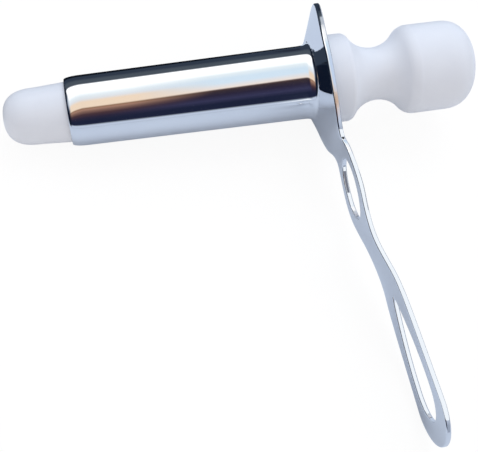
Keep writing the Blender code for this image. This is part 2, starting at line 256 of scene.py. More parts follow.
def lying_frame():
    """The instrument's own frame as it lies, from the joint's axis and the handle's mount."""
    record = frame["record"]
    mount = record["mounts"][0]
    along = Vector(record["behaviour"]["joints"][0]["axis"]).normalized()
    outward = Vector(mount["axis"])
    crownward = (outward - along * outward.dot(along)).normalized()
    sideways = along.cross(crownward)
    down = (TEAR_BOTTOM + HANDLE_END) / 2.0
    origin = Vector(mount["pos_m"]) - along * plate_face(down, 0.0, 1.0) + crownward * down
    turn = Matrix((along, crownward, sideways)).transposed()
    return Matrix.Translation(origin) @ turn.to_4x4()


LYING = lying_frame()


def finished(name, form, material, sharp_angle=SHARP_ANGLE):
    """A piece from a bmesh in the instrument's frame, moved to where it lies."""
    form.transform(LYING)
    mesh = bpy.data.meshes.new(name)
    form.to_mesh(mesh)
    form.free()
    mesh.materials.append(material)
    mesh.shade_smooth()
    mesh.set_sharp_from_angle(angle=sharp_angle)
    piece = bpy.data.objects.new(name, mesh)
    bpy.context.scene.collection.objects.link(piece)
    return piece


def turned(outline, closed):
    """A bmesh of revolution about the barrel's axis, from (along, radius) points."""
    form = bmesh.new()
    ring = [form.verts.new((point.x, point.y, 0.0)) for point in outline]
    edges = [form.edges.new(pair) for pair in zip(ring, ring[1:])]
    if closed:
        edges.append(form.edges.new((ring[-1], ring[0])))
    bmesh.ops.spin(
        form, geom=ring + edges, cent=(0.0, 0.0, 0.0), axis=(1.0, 0.0, 0.0),
        angle=2.0 * math.pi, steps=TURNED_STEPS, use_merge=True,
    )
    bmesh.ops.remove_doubles(form, verts=form.verts, dist=MERGE_TOLERANCE)
    bmesh.ops.recalc_face_normals(form, faces=form.faces)
    return form


def barrel_outline():
    """The barrel's wall in section, with the braze's points held as tagged shares."""
    foot = 2.0 * bore_half_thickness()
    lip_start = LIP_LENGTH - BARREL_LENGTH
    mouth = barrel_radius(-BARREL_LENGTH) - BARREL_WALL
    lip_drop = barrel_radius(lip_start) - mouth - LIP_EDGE
    points = [Vector((foot, barrel_radius(foot)))]
    for step in range(BRAZE_STEPS, -1, -1):
        points.append(Vector((BRAZE_TAG + step / BRAZE_STEPS, BARREL_RADIUS)))
    for step in range(1, BARREL_RUN_STEPS):
        along = lip_start * step / BARREL_RUN_STEPS
        points.append(Vector((along, barrel_radius(along))))
    for step in range(DOME_STEPS + 1):
        turn = math.pi / 2.0 * step / DOME_STEPS
        along = lip_start - LIP_LENGTH * math.sin(turn)
        points.append(Vector((along, mouth + LIP_EDGE + lip_drop * math.cos(turn))))
    for step in range(1, LIP_EDGE_STEPS + 1):
        turn = math.pi / 2.0 * step / LIP_EDGE_STEPS
        along = -BARREL_LENGTH + LIP_EDGE * (1.0 - math.cos(turn))
        points.append(Vector((along, mouth + LIP_EDGE * (1.0 - math.sin(turn)))))
    points.append(Vector((foot, barrel_radius(foot) - BARREL_WALL)))
    return points


def braze_point(share, turn):
    """The braze fillet: from the barrel (share 0) round onto the flange's front (share 1)."""
    start = Vector((-BRAZE_START, barrel_radius(-BRAZE_START)))
    reach = BARREL_RADIUS + BRAZE_REACH
    down = math.cos(turn)
    across = math.sin(turn)
    end_along = plate_face(down * reach, across * reach, -1.0) - BRAZE_LIFT
    outer = reach + SLOPE_NUDGE
    outer_along = plate_face(down * outer, across * outer, -1.0) - BRAZE_LIFT
    slope = (outer_along - end_along) / SLOPE_NUDGE
    end = Vector((end_along, reach))
    corner = Vector((end_along - slope * (reach - start.y), start.y))
    point = start.lerp(corner, share).lerp(corner.lerp(end, share), share)
    return Vector((point.x, -point.y * down, point.y * across))


def barrel_form():
    """The barrel, with its braze fillet laid against the dished flange."""
    form = turned(barrel_outline(), True)
    for vert in form.verts:
        if vert.co.x > BRAZE_TAG / 2.0:
            vert.co = braze_point(vert.co.x - BRAZE_TAG, math.atan2(vert.co.z, -vert.co.y))
    bmesh.ops.recalc_face_normals(form, faces=form.faces)
    return form


def obturator_outline():
    """The obturator in section, from the knob's crown down to the tip of the nose."""
    seat = plate_face(0.0, SHOULDER_RADIUS, 1.0) + SEAT_GAP
    body_gap = BARREL_WALL + RUNNING_GAP
    nose_base = -BARREL_LENGTH - NOSE_LENGTH + NOSE_DOME_LENGTH
    nose_root = barrel_radius(-BARREL_LENGTH) - body_gap
    nose_narrowing = (NOSE_LENGTH - NOSE_DOME_LENGTH) * math.tan(NOSE_TAPER)
    nose_radius = nose_root - nose_narrowing
    knob_base = KNOB_LENGTH - KNOB_DOME_LENGTH
    hollow_centre = WAIST_RADIUS + WAIST_HOLLOW_RADIUS
    hollow_corner = hollow_centre - WAIST_HOLLOW_RADIUS / math.cos(WAIST_FLANK)
    shoulder_reach = (SHOULDER_RADIUS - hollow_corner) / math.tan(WAIST_FLANK)
    knob_reach = (KNOB_RADIUS - hollow_corner) / math.tan(WAIST_FLANK)
    crown = dome(knob_base, KNOB_RADIUS, KNOB_DOME_LENGTH, KNOB_FULLNESS)
    runs = rounded([
        (knob_base, KNOB_RADIUS, 0.0),
        (WAIST_ALONG + knob_reach, KNOB_RADIUS, KNOB_ROUNDING),
        (WAIST_ALONG, hollow_corner, WAIST_HOLLOW_RADIUS),
        (WAIST_ALONG - shoulder_reach, SHOULDER_RADIUS, SHOULDER_ROUNDING),
        (seat, SHOULDER_RADIUS, SEAT_ROUNDING),
        (seat, barrel_radius(seat) - body_gap, 0.0),
        (-BARREL_LENGTH, nose_root, 0.0),
        (nose_base, nose_radius, 0.0),
    ])
    nose = dome(-nose_base, nose_radius, NOSE_DOME_LENGTH, NOSE_FULLNESS)
    tip = [Vector((-point.x, point.y)) for point in nose]
    return crown[::-1][:-1] + runs[:-1] + tip


def curve_through(stations, step):
    """Points about a step apart on a smooth curve through (down, half width) stations."""
    points = []
    ends = [stations[0]] + stations + [stations[-1]]
    for before, start, end, after in zip(ends, ends[1:], ends[2:], ends[3:]):
        start_slope = (end[1] - before[1]) / (end[0] - before[0])
        end_slope = (after[1] - start[1]) / (after[0] - start[0])
        span = end[0] - start[0]
        count = max(int(round(span / step)), 2)
        for index in range(count):
            share = index / count
            square = share * share
            cube = square * share
            value = (2.0 * cube - 3.0 * square + 1.0) * start[1]
            value += (cube - 2.0 * square + share) * span * start_slope
            value += (3.0 * square - 2.0 * cube) * end[1]
            value += (cube - square) * span * end_slope
            points.append((start[0] + span * share, value))
    points.append(stations[-1])
    return points


def oval_point(turn):
    """The flange's outline at a turn from its crown, as (down, across)."""
    is_crown = math.cos(turn) > 0.0
    height = FLANGE_CROWN if is_crown else FLANGE_FOOT
    power = 2.0 / (CROWN_FULLNESS if is_crown else FOOT_FULLNESS)
    down = -math.copysign(height * abs(math.cos(turn)) ** power, math.cos(turn))
    return down, FLANGE_HALF_WIDTH * abs(math.sin(turn)) ** power


def plate_side():
    """One side of the plate's outline, from the flange's crown to the handle's end."""
    meeting = ROOT_HALF_WIDTH + ROOT_DROP
    sine = (meeting / FLANGE_HALF_WIDTH) ** (FOOT_FULLNESS / 2.0)
    last_turn = math.pi - math.asin(sine)
    count = OVAL_STEPS // 2
    side = [oval_point(last_turn * step / count) for step in range(count + 1)]
    loop_centre = HANDLE_END - LOOP_HALF_WIDTH
    root_down = side[-1][0] + ROOT_DROP
    arm = curve_through([
        (root_down, ROOT_HALF_WIDTH),
        (EYE_ARM_DOWN, EYE_ARM_HALF_WIDTH),
        (NECK_DOWN, NECK_HALF_WIDTH),
        (SWELL_DOWN, SWELL_HALF_WIDTH),
        (loop_centre, LOOP_HALF_WIDTH),
    ], OUTLINE_STEP)
    below = [point for point in arm if point[0] > root_down + ROOT_ROUNDING]
    above = [point for point in side if point[0] < root_down - ROOT_ROUNDING]
    corner = rounded([(*above[-1], 0.0), (*arm[0], ROOT_ROUNDING), (*below[0], 0.0)])
    side = above + [(point.x, point.y) for point in corner[1:-1]] + below
    for step in range(1, DOME_STEPS + 1):
        turn = math.pi / 2.0 * step / DOME_STEPS
        down = loop_centre + LOOP_HALF_WIDTH * math.sin(turn)
        side.append((down, LOOP_HALF_WIDTH * math.cos(turn)))
    return side


def eye_outline():
    """The oval eye near the top of the handle."""
    centre = (EYE_TOP + EYE_BOTTOM) / 2.0
    half_length = (EYE_BOTTOM - EYE_TOP) / 2.0
    points = []
    for step in range(EYE_STEPS):
        turn = 2.0 * math.pi * step / EYE_STEPS
        points.append((centre - half_length * math.cos(turn), EYE_HALF_WIDTH * math.sin(turn)))
    return points


def tear_outline():
    """The long teardrop of the loop: narrow at the top, widest low down, and round below."""
    count = int(round((TEAR_WIDEST - TEAR_TOP) / OUTLINE_STEP))
    flank = []
    for step in range(TEAR_APEX_STEPS, count):
        share = step / count
        across = TEAR_HALF_WIDTH * math.sin(math.pi / 2.0 * share) ** TEAR_TOP_FULLNESS
        flank.append((TEAR_TOP + (TEAR_WIDEST - TEAR_TOP) * share, across))
    for step in range(DOME_STEPS):
        turn = math.pi / 2.0 * step / DOME_STEPS
        down = TEAR_WIDEST + (TEAR_BOTTOM - TEAR_WIDEST) * math.sin(turn)
        flank.append((down, TEAR_HALF_WIDTH * math.cos(turn)))
    first_down, first_across = flank[0]
    apex = rounded([
        (first_down, -first_across, 0.0),
        (TEAR_TOP, 0.0, TEAR_TOP_ROUNDING),
        (first_down, first_across, 0.0),
    ])[1:-1]
    other_flank = [(down, -across) for down, across in flank[::-1]]
    return [(point.x, point.y) for point in apex] + flank + [(TEAR_BOTTOM, 0.0)] + other_flank


def bore_outline():
    """The round bore that the barrel is brazed into."""
    radius = BARREL_RADIUS + BRAZE_GAP
    points = []
    for step in range(OVAL_STEPS):
        turn = 2.0 * math.pi * step / OVAL_STEPS
        points.append((radius * math.cos(turn), radius * math.sin(turn)))
    return points


def drawn_in(outline, distance):
    """A closed outline drawn in by a distance, or let out where it is negative."""
    onward = outline[1:] + outline[:1]
    area = sum(here[0] * after[1] - after[0] * here[1] for here, after in zip(outline, onward))
    inward = math.copysign(distance, area * distance)
    points = []
    for before, here, after in zip(outline[-1:] + outline[:-1], outline, onward):
        arriving = (Vector(here) - Vector(before)).normalized()
        leaving = (Vector(after) - Vector(here)).normalized()
        run = (arriving + leaving).normalized()
        points.append((here[0] - run.y * inward, here[1] + run.x * inward))
    return points


def grid_places(start, end):
    """Evenly spaced places between two ends, about a grid step apart."""
    count = int(round((end - start) / GRID_STEP))
    return [start + (end - start) * index / count for index in range(1, count)]


def plate_blank():
    """The flat blank: outlines filled, then divided where the press will curve it."""
    side = plate_side()
    other_side = [(down, -across) for down, across in side[-2:0:-1]]
    form = bmesh.new()
    for outline in (
        drawn_in(side + other_side, PLATE_ROUNDING), bore_outline(),
        drawn_in(eye_outline(), -PLATE_ROUNDING), drawn_in(tear_outline(), -PLATE_ROUNDING),
    ):
        ring = [form.verts.new((-down, across, 0.0)) for down, across in outline]
        for pair in zip(ring, ring[1:] + ring[:1]):
            form.edges.new(pair)
    bmesh.ops.triangle_fill(form, edges=form.edges[:], use_beauty=True, normal=(0.0, 0.0, 1.0))
    flat_from = CRANK_START + CRANK_LENGTH
    cuts = [(down, 0.0, HANDLE_END) for down in grid_places(-FLANGE_CROWN, flat_from)]
    cuts.append((flat_from, 0.0, HANDLE_END))
    rows = grid_places(-FLANGE_HALF_WIDTH, FLANGE_HALF_WIDTH)
    cuts += [(across, 1.0, FLANGE_FOOT) for across in rows]
    for place, is_row, reach in cuts:
        faces = [face for face in form.faces if -face.calc_center_median().x < reach]
        edges = dict.fromkeys(edge for face in faces for edge in face.edges)
        verts = dict.fromkeys(vert for face in faces for vert in face.verts)
        bmesh.ops.bisect_plane(
            form, geom=[*verts, *edges, *faces], dist=CUT_TOLERANCE / 2.0,
            plane_co=(0.0, place, 0.0) if is_row else (-place, 0.0, 0.0),
            plane_no=(0.0, 1.0, 0.0) if is_row else (1.0, 0.0, 0.0),
        )
    spare = []
    for edge in form.edges:
        first, last = (vert.co for vert in edge.verts)
        step = last - first
        is_gridded = max(-first.x, -last.x) < flat_from + CUT_TOLERANCE
        is_slanting = min(abs(step.x), abs(step.y)) > CUT_TOLERANCE
        if is_gridded and is_slanting and len(edge.link_faces) == 2:
            spare.append(edge)
    bmesh.ops.dissolve_edges(form, edges=spare, use_verts=True)
    return form


def outward_ways(brims):
    """For each vertex on the blank's brims: its place, and the way out of the metal."""
    sums = {}
    for edge in brims:
        first, last = edge.verts
        way = (last.co - first.co).normalized().cross(Vector((0.0, 0.0, 1.0)))
        inside = edge.link_faces[0].calc_center_median() - first.co
        if way.dot(inside) > 0.0:
            way.negate()
        for vert in edge.verts:
            sums[vert] = sums.get(vert, Vector((0.0, 0.0, 0.0))) + way
    bore_edge = BARREL_RADIUS + 2.0 * BRAZE_GAP
    return {
        vert: (vert.co.copy(), total.normalized() * (vert.co.to_2d().length > bore_edge))
        for vert, total in sums.items()
    }


def plate_form():
    """The plate's flat solid: each brim rounded over in rows, then mirrored below."""
    form = plate_blank()
    brims = [edge for edge in form.edges if edge.is_boundary]
    ways = outward_ways(brims)
    half = PLATE_THICKNESS / 2.0
    rows = []
    for step in range(1, PLATE_ROUNDING_STEPS + 1):
        turn = math.pi / 2.0 * step / PLATE_ROUNDING_STEPS
        rows.append((PLATE_ROUNDING * math.sin(turn), -PLATE_ROUNDING * (1.0 - math.cos(turn))))
    rows.append((PLATE_ROUNDING, -half))
    for out, rise in rows:
        row = bmesh.ops.extrude_edge_only(form, edges=brims)["geom"]
        next_ways = {}
        for vert in [item for item in row if isinstance(item, bmesh.types.BMVert)]:
            linked = [edge.other_vert(vert) for edge in vert.link_edges]
            place, way = next(ways[other] for other in linked if other in ways)
            next_ways[vert] = (place, way)
            vert.co = place + way * out + Vector((0.0, 0.0, rise))
        brims = [
            item for item in row if isinstance(item, bmesh.types.BMEdge)
            and item.verts[0] in next_ways and item.verts[1] in next_ways
        ]
        ways = next_ways
    bmesh.ops.translate(form, verts=form.verts[:], vec=(0.0, 0.0, half))
    everything = form.verts[:] + form.edges[:] + form.faces[:]
    bmesh.ops.mirror(form, geom=everything, axis="Z", merge_dist=CUT_TOLERANCE)
    bmesh.ops.recalc_face_normals(form, faces=form.faces[:])
    form.normal_update()
    return form


def flat_facing(vert):
    """How a vertex of the flat solid faces: squarely on a flat face or on the edge's wall."""
    steepness = [abs(face.normal.z) for face in vert.link_faces]
    facing = vert.normal.copy()
    if max(steepness) > SQUARE_ON:
        return Vector((0.0, 0.0, math.copysign(1.0, facing.z)))
    if min(steepness) < EDGE_ON:
        facing.z = 0.0
    return facing.normalized()


def pressed_plate(material):
    """The plate pressed into shape, each vertex facing just as the pressed surface does."""
    form = plate_form()
    facings = []
    for vert in form.verts:
        facing = flat_facing(vert)
        down = -vert.co.x
        across = vert.co.y
        slope_down, slope_across = pressed_slopes(down, across)
        stretch = stretch_along(down, across)
        height = bore_half_thickness() + pressed_surface(down, across) + vert.co.z * stretch
        place = Vector((height, -down, across))
        facing_along = facing.z / stretch
        facing_crown = facing.x + facing_along * slope_down
        facing_side = facing.y - facing_along * slope_across
        facings.append(Vector((facing_along, facing_crown, facing_side)).normalized())
        vert.co = place
    bmesh.ops.triangulate(form, faces=[face for face in form.faces if len(face.verts) > 4])
    for face in form.faces:
        face.smooth = True
    form.normal_update()
    piece = finished("pressed_plate", form, material, math.pi)
    turn = LYING.to_3x3()
    piece.data.normals_split_custom_set_from_vertices([turn @ facing for facing in facings])
    return piece


class Wire:
    """A socket's value in shader maths, so that a formula reads as plain Python."""

    def __init__(self, graph, socket):
        self.graph = graph
        self.socket = socket

    def math(self, operation, *operands):
        """A Math node of this value and the operands."""
        node = self.graph.tree.nodes.new("ShaderNodeMath")
        node.operation = operation
        for slot, operand in zip(node.inputs, (self, *operands)):
            self.graph.feed(slot, operand)
        return Wire(self.graph, node.outputs[0])

    def __add__(self, other):
        return self.math("ADD", other)

    def __sub__(self, other):
        return self.math("SUBTRACT", other)

    def __mul__(self, other):
        return self.math("MULTIPLY", other)

    def __truediv__(self, other):
        return self.math("DIVIDE", other)

    def __radd__(self, other):
        return self.math("ADD", other)

    def __rmul__(self, other):
        return self.math("MULTIPLY", other)

    def __rsub__(self, other):
        return (self * -1.0).math("ADD", other)


class Graph:
    """The nodes of one material or of the world."""

    def __init__(self, owner):
        owner.use_nodes = True
        self.tree = owner.node_tree
        self.tree.nodes.clear()

    def feed(self, slot, value):
        """Link a wire to a socket, or write a plain value on it."""
        if isinstance(value, Wire):
            self.tree.links.new(value.socket, slot)
        else:
            slot.default_value = value

    def add(self, kind, settings, values, output=0):
        """A node of a kind, its settings made first, then the values or wires of its sockets."""
        node = self.tree.nodes.new(kind)
        for name, setting in settings.items():
            if name == "stops":
                ramp = node.color_ramp
                for _ in setting[2:]:
                    ramp.elements.new(0.5)
                for stop, (place, colour) in zip(ramp.elements, setting):
                    stop.position = place
                    stop.color = (*colour, 1.0)
            else:
                setattr(node, name, setting)
        for name, value in values.items():
            self.feed(node.inputs[name], value)
        return Wire(self, node.outputs[output]) if node.outputs else None


def tone(colour):
    """A colour given as screen values from 0 to 255, as the renderer's own values."""
    shares = [value / 255.0 for value in colour]
    return tuple(
        share / 12.92 if share <= 0.04045 else ((share + 0.055) / 1.055) ** 2.4
        for share in shares
    )


def opaque(colour):
    """The same as a colour socket takes it, with full alpha."""
    return (*tone(colour), 1.0)


def instrument_place(graph, scale=(1.0, 1.0, 1.0)):
    """A point's place in the instrument's own frame, stretched along its axes."""
    coordinates = graph.add("ShaderNodeTexCoord", {}, {}, "Object")
    place = graph.add("ShaderNodeMapping", {"vector_type": "TEXTURE"}, {
        "Vector": coordinates,
        "Location": LYING.translation,
        "Rotation": LYING.to_euler(),
    })
    return graph.add("ShaderNodeMapping", {"vector_type": "POINT"}, {"Vector": place, "Scale": scale})


def noise(graph, place, scale, detail):
    """A noise pattern's value at a place."""
    return graph.add("ShaderNodeTexNoise", {}, {
        "Vector": place, "Scale": scale, "Detail": detail, "Roughness": 0.55,
    }, "Fac")


def mixed(graph, share, first, second):
    """A colour between two, by a share; 6, 7 and 2 are the node's colour sockets."""
    return graph.add("ShaderNodeMix", {"data_type": "RGBA"}, {0: share, 6: first, 7: second}, 2)


# Plating: how fine its patterns are, and what each adds to its relief and its roughness
SMEAR_FINENESS = 90.0
SWELL_FINENESS = 55.0
POLISH_STRETCH = (60.0, 1400.0, 1400.0)
SWELL_RELIEF = 0.010 * MM
POLISH_RELIEF = 0.00012 * MM
SMEAR_ROUGHNESS = 0.08
POLISH_ROUGHNESS = 0.01
PLATING_ROUGHNESS = 0.02
DULL_METAL = (238, 240, 244)
BRIGHT_METAL = (246, 247, 249)

# Plastic: the same
CLOUD_FINENESS = 120.0
LATHE_STRETCH = (1500.0, 0.0, 0.0)
LATHE_RELIEF = 0.0012 * MM
CLOUD_ROUGHNESS = 0.10
PLASTIC_ROUGHNESS = 0.33
CLOUDED_PLASTIC = (226, 229, 236)
CLEAR_PLASTIC = (233, 236, 242)

# Paper of the floor: its own colour, its colour in the metal, and how much it glows
PAPER = (0.92, 0.90, 0.87, 1.0)
MIRRORED_PAPER = (0.60, 0.67, 0.77, 1.0)
PURE_WHITE = (1.0, 1.0, 1.0, 1.0)
PAPER_GLOW = 1.03
SEEN_GLOW_SHARE = 0.88
MIRRORED_GLOW_SHARE = 0.06


def polished_plating():
    """Bright plating on polished metal: nearly a mirror, with faint smears and polishing lines."""
    material = bpy.data.materials.new("polished_plating")
    graph = Graph(material)
    place = instrument_place(graph)
    smears = noise(graph, place, SMEAR_FINENESS, 3.0)
    polish = noise(graph, instrument_place(graph, POLISH_STRETCH), 1.0, 2.0)
    swells = noise(graph, place, SWELL_FINENESS, 1.0)
    height = swells * SWELL_RELIEF + polish * POLISH_RELIEF
    facing = graph.add("ShaderNodeBump", {}, {"Strength": 1.0, "Distance": 1.0, "Height": height})
    roughness = smears * smears * SMEAR_ROUGHNESS + polish * POLISH_ROUGHNESS + PLATING_ROUGHNESS
    tint = mixed(graph, smears, opaque(DULL_METAL), opaque(BRIGHT_METAL))
    surface = graph.add("ShaderNodeBsdfPrincipled", {}, {
        "Base Color": tint, "Metallic": 1.0, "Roughness": roughness, "Normal": facing,
    })
    graph.add("ShaderNodeOutputMaterial", {}, {"Surface": surface})
    return material


def white_plastic():
    """Milky white turned plastic, softly glossy, with faint rings from the lathe."""
    material = bpy.data.materials.new("white_plastic")
    graph = Graph(material)
    place = instrument_place(graph)
    cloud = noise(graph, place, CLOUD_FINENESS, 3.0)
    rings = noise(graph, instrument_place(graph, LATHE_STRETCH), 1.0, 2.0)
    height = rings * LATHE_RELIEF
    facing = graph.add("ShaderNodeBump", {}, {"Strength": 1.0, "Distance": 1.0, "Height": height})
    tint = mixed(graph, cloud, opaque(CLOUDED_PLASTIC), opaque(CLEAR_PLASTIC))
    roughness = cloud * CLOUD_ROUGHNESS + PLASTIC_ROUGHNESS
    surface = graph.add("ShaderNodeBsdfPrincipled", {}, {
        "Base Color": tint, "Roughness": roughness, "Normal": facing,
        "Subsurface Weight": 0.12, "Subsurface Radius": (1.0, 1.0, 1.0),
        "Subsurface Scale": 2.0 * MM, "IOR": 1.5,
    })
    graph.add("ShaderNodeOutputMaterial", {}, {"Surface": surface})
    return material


def pale_floor():
    """White paper: seen nearly as plain white, and still taking the instrument's shadow."""
    material = bpy.data.materials.new("pale_floor")
    graph = Graph(material)
    is_seen = graph.add("ShaderNodeLightPath", {}, {}, "Is Camera Ray")
    is_mirrored = graph.add("ShaderNodeLightPath", {}, {}, "Is Glossy Ray")
    is_through = graph.add("ShaderNodeLightPath", {}, {}, "Is Transmission Ray")
    tint = mixed(graph, is_mirrored, PAPER, MIRRORED_PAPER)
    paper = graph.add("ShaderNodeBsdfDiffuse", {}, {"Color": tint})
    glow = graph.add("ShaderNodeEmission", {}, {"Color": PURE_WHITE, "Strength": PAPER_GLOW})
    share = is_seen * SEEN_GLOW_SHARE + (is_mirrored + is_through) * MIRRORED_GLOW_SHARE
    surface = graph.add("ShaderNodeMixShader", {}, {"Fac": share, 1: paper, 2: glow})
    graph.add("ShaderNodeOutputMaterial", {}, {"Surface": surface})
    return material


# Tones of the cards, and of the studio's bands of light
CARD_BLACK = (18, 24, 34)
CARD_GREY = (122, 126, 138)
CARD_WHITE = (246, 251, 255)
NAVY = (30, 36, 60)
PLUM = (45, 40, 61)
DARK_SLATE = (40, 46, 60)
SLATE = (50, 60, 75)
LIGHT_NAVY = (56, 56, 86)
UMBER = (58, 48, 54)
WARM_UMBER = (75, 54, 60)
LIT_SLATE = (76, 85, 95)
RUSSET = (90, 70, 68)
BROWN = (130, 98, 88)
TAN = (150, 112, 86)
FLOOR_GREY = (140, 145, 165)
COPPER = (172, 132, 112)
DUSK_GREY = (156, 166, 184)
HORIZON_GREY = (188, 200, 220)
HORIZON_LIGHT = (200, 211, 229)
APRICOT = (210, 183, 162)
CLOUD_GREY = (192, 199, 208)
ROSE_GREY = (218, 208, 207)
SKY_BLUE = (203, 219, 242)
PALE_BLUE = (220, 238, 251)
PEACH = (250, 225, 198)
CREAM = (248, 234, 222)
PALE_GREY = (234, 236, 239)
ICE = (241, 250, 253)
WHITE = (255, 255, 255)

# The brightest that a band is, which the ramps' stops are shares of
BRIGHTEST = 1.6

# Bands of light as (turn in degrees, brightness, tone), as mirrored towards the tip
TIP_SIDE_BANDS = [
    (-180.0, 1.0, SLATE),
    (-95.0, 1.0, SLATE),
    (-85.0, 1.0, FLOOR_GREY),
    (-4.0, 1.0, HORIZON_GREY),
    (6.0, 1.0, HORIZON_LIGHT),
    (11.0, 1.0, NAVY),
    (23.0, 1.0, NAVY),
    (34.0, 1.0, PLUM),
    (46.0, 1.0, WARM_UMBER),
    (55.0, 1.0, BROWN),
    (62.0, 1.0, COPPER),
    (66.5, 1.0, TAN),
    (70.0, 1.0, PEACH),
    (88.0, 1.0, PEACH),
    (97.0, 1.0, PALE_GREY),
    (108.0, 1.0, ICE),
    (120.0, 1.25, WHITE),
    (148.0, 1.6, WHITE),
    (154.0, 1.0, LIT_SLATE),
    (168.0, 1.0, LIT_SLATE),
    (180.0, 1.0, SLATE),
]

# The same for the middle of the barrel and on to the flange
MIDDLE_BANDS = [
    (-180.0, 1.0, SLATE),
    (-95.0, 1.0, SLATE),
    (-85.0, 1.0, FLOOR_GREY),
    (-4.0, 1.0, HORIZON_GREY),
    (4.0, 1.0, HORIZON_LIGHT),
    (9.5, 1.0, NAVY),
    (25.0, 1.0, NAVY),
    (38.0, 1.0, LIGHT_NAVY),
    (52.0, 1.0, PLUM),
    (64.0, 1.0, UMBER),
    (68.5, 1.0, RUSSET),
    (71.5, 1.0, CREAM),
    (81.0, 1.0, PALE_GREY),
    (88.0, 1.0, PALE_BLUE),
    (101.0, 1.0, PALE_BLUE),
    (115.0, 1.0, ICE),
    (128.0, 1.4, WHITE),
    (148.0, 1.6, WHITE),
    (154.0, 1.0, LIT_SLATE),
    (168.0, 1.0, LIT_SLATE),
    (180.0, 1.0, SLATE),
]

# The same for the flange's rim and crown
HAND_SIDE_BANDS = [
    (-180.0, 1.0, DARK_SLATE),
    (-95.0, 1.0, SLATE),
    (-85.0, 1.0, FLOOR_GREY),
    (-4.0, 1.0, DUSK_GREY),
    (20.0, 1.0, DUSK_GREY),
    (37.0, 1.0, HORIZON_LIGHT),
    (49.0, 1.0, ROSE_GREY),
    (55.0, 1.0, APRICOT),
    (60.0, 1.0, APRICOT),
    (64.0, 1.0, ROSE_GREY),
    (72.0, 1.0, SKY_BLUE),
    (96.0, 1.0, SKY_BLUE),
    (124.0, 1.0, PALE_BLUE),
    (132.0, 1.05, WHITE),
    (142.0, 1.05, WHITE),
    (152.0, 1.0, CLOUD_GREY),
    (180.0, 1.0, CLOUD_GREY),
]


# Where a mirrored way passes from one set of bands to the next, by its run along the instrument
TO_MIDDLE = (-0.07, 0.02)
TO_HAND_SIDE = (0.188, 0.198)
TO_HAZE = (0.3, 0.38)
HAZE = (186, 197, 216)

# The hand side's bands begin sooner overhead, and later beyond the instrument
OVERHEAD_RISE = (0.0, 58.0)
OVERHEAD_FALL = (150.0, 105.0)
OVERHEAD_SHIFT = 0.058
BEYOND = (160.0, 170.0)
BEYOND_SHIFT = 0.06

# How much a way's run along the instrument leans the bands
BAND_LEAN = 0.5

# What is mirrored past either end, as (height, tone) from straight below (0) to overhead (1)
END_TONES = [(0.58, (16, 24, 40)), (0.66, (60, 72, 92)), (0.74, (218, 226, 238))]
END_DROP_RUN = (0.0, -0.4)
END_DROP = 0.19
PAST_TIP = (-0.45, -0.6)
PAST_HAND = (0.74, 0.86)

# The even light on the plastic: its cooler side is up and beyond
COOL_WAY = Vector((0.2, 0.92, 0.3)).normalized()
WARM_LIGHT = (0.80, 0.74, 0.70, 1.0)
COOL_LIGHT = (0.66, 0.74, 0.87, 1.0)


def eased(wire, start, end):
    """A ramp from 0 at the start to 1 at the end, held level beyond both."""
    share = (wire - start) / (end - start)
    return share.math("MAXIMUM", 0.0).math("MINIMUM", 1.0)


def sky_bands(graph, turn, bands):
    """Bands of light by their turn, from the near horizon (0) over the top to the far one (180)."""
    stops = [
        (degrees / 360.0 + 0.5, tuple(value * gain / BRIGHTEST for value in tone(colour)))
        for degrees, gain, colour in bands
    ]
    ramp = graph.add("ShaderNodeValToRGB", {"stops": stops}, {"Fac": turn / 360.0 + 0.5}, "Color")
    return graph.add("ShaderNodeVectorMath", {"operation": "SCALE"}, {0: ramp, "Scale": BRIGHTEST})


def mirrored_light(graph, way):
    """What the metal mirrors from each way: banded light, a haze, and the two ends."""
    along = graph.add("ShaderNodeSeparateXYZ", {}, {"Vector": way}, "X")
    away = graph.add("ShaderNodeSeparateXYZ", {}, {"Vector": way}, "Y")
    rise = graph.add("ShaderNodeSeparateXYZ", {}, {"Vector": way}, "Z")
    turn = rise.math("ARCTAN2", along * BAND_LEAN - away) * (180.0 / math.pi)
    tip_side = sky_bands(graph, turn, TIP_SIDE_BANDS)
    middle = sky_bands(graph, turn, MIDDLE_BANDS)
    hand_side = sky_bands(graph, turn, HAND_SIDE_BANDS)
    bands = mixed(graph, eased(along, *TO_MIDDLE), tip_side, middle)
    overhead = eased(turn, *OVERHEAD_RISE) * eased(turn, *OVERHEAD_FALL)
    beyond = eased(turn, *BEYOND)
    shifted = along + overhead * OVERHEAD_SHIFT - beyond * BEYOND_SHIFT
    bands = mixed(graph, eased(shifted, *TO_HAND_SIDE), bands, hand_side)
    bands = mixed(graph, eased(along, *TO_HAZE), bands, opaque(HAZE))
    stops = [(height, tone(colour)) for height, colour in END_TONES]
    height = rise * 0.5 + 0.5 - eased(along, *END_DROP_RUN) * END_DROP
    ends = graph.add("ShaderNodeValToRGB", {"stops": stops}, {"Fac": height}, "Color")
    ends_share = eased(along, *PAST_TIP).math("MAXIMUM", eased(along, *PAST_HAND))
    return mixed(graph, ends_share, bands, ends)


